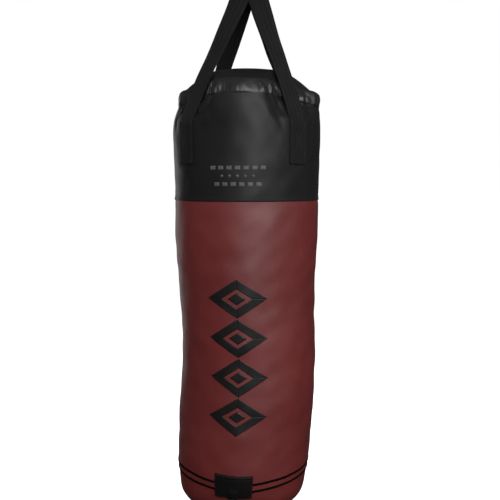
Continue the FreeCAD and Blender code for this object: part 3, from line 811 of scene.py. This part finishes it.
def make_straps():
    over_bar = RING_WIRE + CLEARANCE + WEBBING_THICK / 2
    outer = over_bar + WEBBING_THICK + 0.0012
    for name, side, bend in (("strap_left", -1, outer), ("strap_right", 1, over_bar)):
        front, lean = leg_frames(side * LEGS[0], bend, math.radians(-4.0 if side < 0 else 1.5))
        rear, rear_lean = leg_frames(side * LEGS[1], bend, math.radians(10.5))
        over = []
        for angle in np.linspace(math.pi - lean, rear_lean, 22)[1:-1]:
            out = Vector((0, math.cos(angle), math.sin(angle)))
            over.append((STRAPS_MEET + out * bend, RIGHT, out, 0.0))
        frames = front + over + rear[::-1]
        gather = [1 - 0.05 * float(smooth((point.z - BASE - 1.08) / 0.10)) for point, *_ in frames]
        strap = webbing_strip(name + "_webbing", *zip(*frames), WEBBING_WIDTH / 2, WEBBING_THICK, gather)
        stand_for(strap, name)


make_straps()

# ---- stitching

def stitches(name, lines, length=0.0036, gap=0.0014, radius=0.00038):
    """Rows of thread; each line is (points, outward directions), a polyline that the row follows."""
    sides, profile = 6, ((0.0, -1.2), (0.16, 0.25), (0.5, 0.7), (0.84, 0.25), (1.0, -1.2))
    verts, faces = [], []
    for points, outs in lines:
        points, outs = np.asarray(points, float), np.asarray(outs, float)
        steps = np.linalg.norm(np.diff(points, axis=0), axis=1)
        walked = np.concatenate([[0.0], np.cumsum(steps)])
        count = max(1, int((walked[-1] + gap) / (length + gap)))
        pitch = (walked[-1] + gap) / count
        for k in range(count):
            places = k * pitch + np.array([t for t, _ in profile]) * (pitch - gap)
            centre = np.stack([np.interp(places, walked, points[:, i]) for i in range(3)], -1)
            out = np.stack([np.interp(places, walked, outs[:, i]) for i in range(3)], -1)
            out /= np.linalg.norm(out, axis=1)[:, None]
            along = centre[-1] - centre[0]
            along /= np.linalg.norm(along)
            start = len(verts)
            for (t, rise), c, o in zip(profile, centre, out):
                side = np.cross(along, o)
                thin = radius * (0.72 if t in (0.0, 1.0) else 1.0)
                for s in range(sides):
                    a = 2 * math.pi * s / sides
                    verts.append(c + o * radius * rise + thin * (math.cos(a) * side + math.sin(a) * o))
            faces += grid_faces(len(profile), sides, closed_columns=True, start=start)
            faces.append([start + s for s in range(sides)][::-1])
            faces.append([start + (len(profile) - 1) * sides + s for s in range(sides)])
    piece = make_piece(name, verts, faces, material=LOOKS["black_thread"])
    return piece


def ring_line(point_maker, count=720):
    azimuths = np.linspace(-math.pi, math.pi, count + 1)
    return point_maker(azimuths), out_of(azimuths)


def foot_point(leg, across, height):
    """A point on the outer face of a sewn strap foot, across from its middle, in metres."""
    azimuth = leg + across / 0.1765
    return spot(azimuth, height, -(CLEARANCE + WEBBING_THICK)), out_of(np.array([azimuth]))[0]


def make_stitching():
    seam = ring_line(lambda a: bag_points(a, SEAM + 0.004))
    second = ring_line(lambda a: bag_points(a, SEAM + 0.009))
    stitches("colour_seam_thread", [seam, second])
    hem_rows = [ring_line(lambda a, t=t: hem_points(a, t)) for t in (0.11, 0.9)]
    stitches("hem_thread", hem_rows, length=0.0042)
    half, low, high = 0.0205, SEWN_FOOT + 0.006, LEAVES_SHELL - 0.009
    boxes = []
    for leg in LEGS:
        corners = [(-half, low), (half, low), (half, high), (-half, high), (-half, low)]
        crossing = [((-half, low), (half, high)), ((half, low), (-half, high)),
                    ((-half, high - 0.004), (half, high - 0.004))]
        for (u0, h0), (u1, h1) in list(zip(corners[:-1], corners[1:])) + crossing:
            line = [foot_point(leg, u0 + (u1 - u0) * t, h0 + (h1 - h0) * t) for t in np.linspace(0, 1, 24)]
            boxes.append(tuple(np.array(part) for part in zip(*line)))
    threads = stitches("strap_thread", boxes, length=0.0040, gap=0.0012, radius=0.00045)
    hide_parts("strap_bar_tacks")


make_stitching()

# ---- foot: stripes, piping, tab, tether

def make_stripes():
    for name in ("lower_stripe", "upper_stripe"):
        low, high = heights_of(name)
        low, high = low - 0.0007, high + 0.0007
        rows = [(low, 0.0002), (low + 0.0004, -0.0006), (low + 0.0015, -0.0009), ((low + high) / 2, -0.0010),
                (high - 0.0015, -0.0009), (high - 0.0004, -0.0006), (high, 0.0002)]
        band = tube_piece(name + "_band", rows, columns=400, lower=True)
        stand_for(band, name)


def make_base():
    columns = 200
    azimuths = around(columns)
    piping_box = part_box("base_piping")
    wire = (piping_box[1].z - piping_box[0].z) / 2
    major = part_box("base_panel")[1].x + 0.0026
    shift = float(sway(np.array(0.002)))
    rows = []
    for turn_angle in np.linspace(0, 2 * math.pi, 14, endpoint=False):
        radius = major + wire * math.cos(turn_angle)
        rows.append(polar(radius, azimuths, BASE + wire + wire * math.sin(turn_angle)) + (shift, 0.0, 0.0))
    piping = make_piece("base_piping_cord", np.concatenate(rows), grid_faces(len(rows), columns, True, True))
    stand_for(piping, "base_piping")
    low, high = (corner.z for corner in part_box("base_panel"))
    bulge = wave_field(9, 0.09)
    verts, rings = [], np.linspace(1.0, 0.04, 22)
    for top in (False, True):
        for ring in (rings[::-1] if top else rings):
            radius = (major - wire - 0.0002) * ring
            uneven = 0.0005 * bulge(polar(radius, azimuths, 0.0)) * (1 - ring)
            verts.append(polar(radius, azimuths, high if top else low + 0.0006 + uneven) + (shift, 0.0, 0.0))
    top = len(rings) * columns
    faces = [face for start in (0, top) for face in grid_faces(len(rings), columns, True, start=start)]
    last = (2 * len(rings) - 1) * columns
    centres = [ring.mean(0) for ring in (verts[len(rings) - 1], verts[len(rings)])]
    verts = np.vstack(verts + centres)
    below, above = len(verts) - 2, len(verts) - 1
    for c in range(columns):
        d = (c + 1) % columns
        faces += [(d, c, last + c, last + d), (top - columns + c, top - columns + d, below),
                  (top + d, top + c, above)]
    faces = [f[::-1] for f in faces]
    panel = make_piece("base_disc", verts, faces)
    stand_for(panel, "base_panel")


TAB_HALF, TAB_RADIUS = 0.0445, 0.160
TAB_MIDDLE = (TETHER_BAR.x - float(sway(np.array(0.0965)))) / 0.157
LOOP_HALF, LOOP_THICK = 0.010, 0.0015
TETHER_WIRE = 0.0018


def make_tab():
    """The sewn tab: a soft folded patch, fuller where it covers the loop's tail, with a fold near its top."""
    wide, tall = 61, 41
    verts = []
    for face in ("outer", "inner"):
        for v in (np.linspace(0, 1, tall) if face == "outer" else np.linspace(1, 0, tall)):
            for u in np.linspace(-1, 1, wide):
                azimuth = TAB_MIDDLE + u * TAB_HALF / TAB_RADIUS
                height = TAB_FOOT + (TAB_TOP - TAB_FOOT) * v
                border = min(1 - abs(u), v * 1.3, (1 - v) * 1.3)
                thick = 0.0014 + 0.0018 * float(smooth(border / 0.06))
                tail = float(smooth((0.30 - abs(u)) / 0.14) * smooth((0.52 - v) / 0.25))
                fold = (0.0011 * math.exp(-((v - 0.865) / 0.018) ** 2)
                        - 0.0005 * math.exp(-((v - 0.92) / 0.03) ** 2))
                proud = 0.0008 + (thick + 0.0024 * tail - fold if face == "outer" else 0.0)
                verts.append(spot(azimuth, height, -proud, lower=True))
    faces = grid_faces(2 * tall, wide, closed_rows=True)
    count = 2 * tall
    for r in range(tall - 1):
        for c, flip in ((0, False), (wide - 1, True)):
            a, b = r * wide + c, (r + 1) * wide + c
            d, e = (count - 1 - r) * wide + c, (count - 2 - r) * wide + c
            face = (a, b, e, d)
            faces.append(face if not flip else face[::-1])
    tab = make_piece("tether_tab_patch", verts, faces, material=TAB_LOOK)
    stand_for(tab, "tether_tab")
    lines, side, end = [], 0.05, 0.05 * 1.3     # the stitches' distance from the edges, as a share of the tab
    corners = [(-1 + side, end), (1 - side, end), (1 - side, 1 - end), (-1 + side, 1 - end), (-1 + side, end)]
    t = np.linspace(0, 1, 40)
    for (u0, v0), (u1, v1) in zip(corners[:-1], corners[1:]):
        azimuths = TAB_MIDDLE + (u0 + (u1 - u0) * t) * TAB_HALF / TAB_RADIUS
        heights = TAB_FOOT + (TAB_TOP - TAB_FOOT) * (v0 + (v1 - v0) * t)
        lines.append((bag_points(azimuths, heights, -0.0042, lower=True), out_of(azimuths)))
    stitches("tether_tab_thread", lines, length=0.0034, gap=0.0012)


def make_tether_loop():
    """Webbing that comes out of the tab, goes round the tether ring's bar and back in."""
    bend = TETHER_WIRE + CLEARANCE + LOOP_THICK / 2
    across, out = directions(TAB_MIDDLE)
    surface = vec(spot(TAB_MIDDLE, TAB_FOOT, lower=True))
    near = (surface - TETHER_BAR).dot(out) + 0.0012 + LOOP_THICK / 2
    far = near + LOOP_THICK + CLEARANCE
    top = BASE + TAB_FOOT + 0.014 - TETHER_BAR.z
    side = TAB_FOOT + BASE - TETHER_BAR.z
    path = [(far, top), (far, side + 0.004), (far + 0.0002, side), (bend * 0.98, 0.0022)]
    path += [(bend * math.cos(a), bend * math.sin(a)) for a in np.linspace(0.1, -math.pi - 0.1, 16)]
    path += [(-bend * 0.98, 0.0022), (near - 0.0002, side), (near, side + 0.004), (near, top)]
    frames = []
    for i, (away, rise) in enumerate(path):
        before, after = path[max(0, i - 1)], path[min(len(path) - 1, i + 1)]
        way = Vector((after[0] - before[0], after[1] - before[1])).normalized()
        facing = out * -way.y + Vector((0, 0, 1)) * way.x
        frames.append((TETHER_BAR + out * away + Vector((0, 0, rise)), across, facing, 0.0))
    loop = webbing_strip("tether_loop_webbing", *zip(*frames), LOOP_HALF, LOOP_THICK)
    stand_for(loop, "tether_loop")


make_stripes()
make_base()
make_tab()
make_tether_loop()

# ---- generic printed marks

def print_patches(name, quads, lower, ink, cell=0.003):
    """Ink laid on the shell: quads are corner lists in (metres round from the front, height)."""
    radius = 0.163 if lower else 0.173
    verts, faces = [], []
    for quad in quads:
        q = np.array(quad, float)
        wide = max(np.linalg.norm(q[1] - q[0]), np.linalg.norm(q[2] - q[3]))
        tall = max(np.linalg.norm(q[3] - q[0]), np.linalg.norm(q[2] - q[1]))
        columns, rows = max(2, int(wide / cell) + 1), max(2, int(tall / cell) + 1)
        for proud in (0.00022, -0.0004):
            start = len(verts)
            for v in np.linspace(0, 1, rows):
                for u in np.linspace(0, 1, columns):
                    place = (q[0] * (1 - u) + q[1] * u) * (1 - v) + (q[3] * (1 - u) + q[2] * u) * v
                    verts.append(spot(place[0] / radius, place[1], -proud, lower))
            grid = grid_faces(rows, columns, start=start)
            faces += grid if proud > 0 else [f[::-1] for f in grid]
        outer = len(verts) - 2 * rows * columns
        inner = len(verts) - rows * columns
        rim = [(0, c) for c in range(columns)] + [(r, columns - 1) for r in range(1, rows)]
        rim += [(rows - 1, c) for c in range(columns - 2, -1, -1)] + [(r, 0) for r in range(rows - 2, 0, -1)]
        for (r0, c0), (r1, c1) in zip(rim, rim[1:] + rim[:1]):
            a, b = r0 * columns + c0, r1 * columns + c1
            faces.append((outer + b, outer + a, inner + a, inner + b))
    piece = make_piece(name, verts, faces, material=ink)
    return piece


def diamond_ring(x, height, half_wide, half_tall, stroke):
    """Four strokes that make a hollow diamond."""
    outer = [(half_wide, 0), (0, half_tall), (-half_wide, 0), (0, -half_tall)]
    shrink = 1 - stroke / (half_wide * half_tall / math.hypot(half_wide, half_tall))
    quads = []
    for (x0, h0), (x1, h1) in zip(outer, outer[1:] + outer[:1]):
        quads.append([(x + x0, height + h0), (x + x1, height + h1),
                      (x + x1 * shrink, height + h1 * shrink), (x + x0 * shrink, height + h0 * shrink)])
    return quads


def diamond(x, height, half_wide, half_tall):
    return [[(x + half_wide, height), (x, height + half_tall),
             (x - half_wide, height), (x, height - half_tall)]]


def bar(x, height, wide, tall):
    return [[(x - wide / 2, height - tall / 2), (x + wide / 2, height - tall / 2),
             (x + wide / 2, height + tall / 2), (x - wide / 2, height + tall / 2)]]


def make_marks():
    low, high, count, middle = 0.214, 0.575, 4, -0.008
    pitch = (high - low) / count
    quads = []
    for k in range(count):
        height = low + pitch * (k + 0.5)
        quads += diamond_ring(middle, height, 0.070, pitch * 0.49, 0.0185)
        quads += diamond(middle, height, 0.021, pitch * 0.15)
    print_patches("large_mark", quads, True, MARK_INK)
    quads = []
    middle, pitch = -0.0045, 0.0190
    for k in range(7):
        quads += bar(middle + (k - 3) * pitch, 0.8215, 0.0122, 0.0085)
    for k in range(5):
        quads += diamond(middle + (k - 2) * 0.0175, 0.8035, 0.0040, 0.0040)
    for k in range(6):
        quads += bar(middle + (k - 2.5) * pitch, 0.7855, 0.0122, 0.0085)
    print_patches("small_emblem", quads, False, EMBLEM_INK, cell=0.002)


make_marks()

# ---- stage and light

def make_stage():
    floor_height = BASE - 0.35
    n = Nodes("pale_floor")
    n.set(specular=0.1)
    tone = n.span(n.noise(1.5, 3.0), 0.3, 0.7)
    n.finish(n.mix(tone, (0.88, 0.88, 0.88), (0.92, 0.92, 0.92)), n.span(n.noise(9.0), 0.3, 0.7, 0.75, 0.9))
    n.shader.inputs["Emission Color"].default_value = (1.0, 1.0, 1.0, 1.0)
    n.shader.inputs["Emission Strength"].default_value = 1.0
    half = 60.0
    mesh = bpy.data.meshes.new("floor")
    corners = [(-half, -half), (half, -half), (half, half), (-half, half)]
    mesh.from_pydata([(x, y, floor_height) for x, y in corners], [], [(0, 1, 2, 3)])
    mesh.materials.append(n.material)
    floor = put_in_scene("floor", mesh)
    floor.visible_glossy = floor.visible_diffuse = False


def area_light(name, azimuth, distance, height, size, power, aim_height=0.65):
    data = bpy.data.lights.new(name, "AREA")
    data.shape = "RECTANGLE"
    data.size, data.size_y = size
    data.energy = power
    light = put_in_scene(name, data)
    a = math.radians(azimuth)
    light.location = (distance * math.sin(a), -distance * math.cos(a), BASE + height)
    aim = Vector((0, 0, BASE + aim_height)) - light.location
    light.rotation_euler = aim.to_track_quat("-Z", "Y").to_euler()
    return light


def make_light():
    world = bpy.data.worlds.new("studio")
    bpy.context.scene.world = world
    world.use_nodes = True
    tree = world.node_tree
    path, mix, place, split, ramp = map(tree.nodes.new, (
        "ShaderNodeLightPath", "ShaderNodeMix", "ShaderNodeTexCoord", "ShaderNodeSeparateXYZ",
        "ShaderNodeMapRange"))
    mix.data_type = "RGBA"
    other_rays, camera_rays = [s for s in mix.inputs if s.type == "RGBA"]
    camera_rays.default_value = (1.0, 1.0, 1.0, 1.0)
    for name, limit in (("From Min", -0.3), ("From Max", 0.3), ("To Min", 0.03), ("To Max", 0.10)):
        ramp.inputs[name].default_value = limit
    for source, target in ((path.outputs["Is Camera Ray"], mix.inputs["Factor"]),
                           (place.outputs["Generated"], split.inputs[0]),
                           (split.outputs["Z"], ramp.inputs["Value"]), (ramp.outputs["Result"], other_rays),
                           ([s for s in mix.outputs if s.type == "RGBA"][0],
                            tree.nodes["Background"].inputs["Color"])):
        tree.links.new(source, target)
    area_light("key", 21, 2.4, 1.42, (2.0, 1.4), 54, 0.85)
    area_light("high_key", 14, 2.3, 2.2, (1.2, 0.6), 8, 0.95)
    area_light("back_left", -138, 2.6, 0.8, (0.9, 2.0), 9)
    for name, azimuth, power in (("fill_left", -70, 20), ("fill_right", 85, 17), ("fill_rear", 180, 30)):
        fill = area_light(name, azimuth, 3.0, 1.4, (2.0, 2.0), power)
        fill.visible_glossy = False


make_stage()
make_light()
bpy.context.scene.view_settings.view_transform = "Standard"
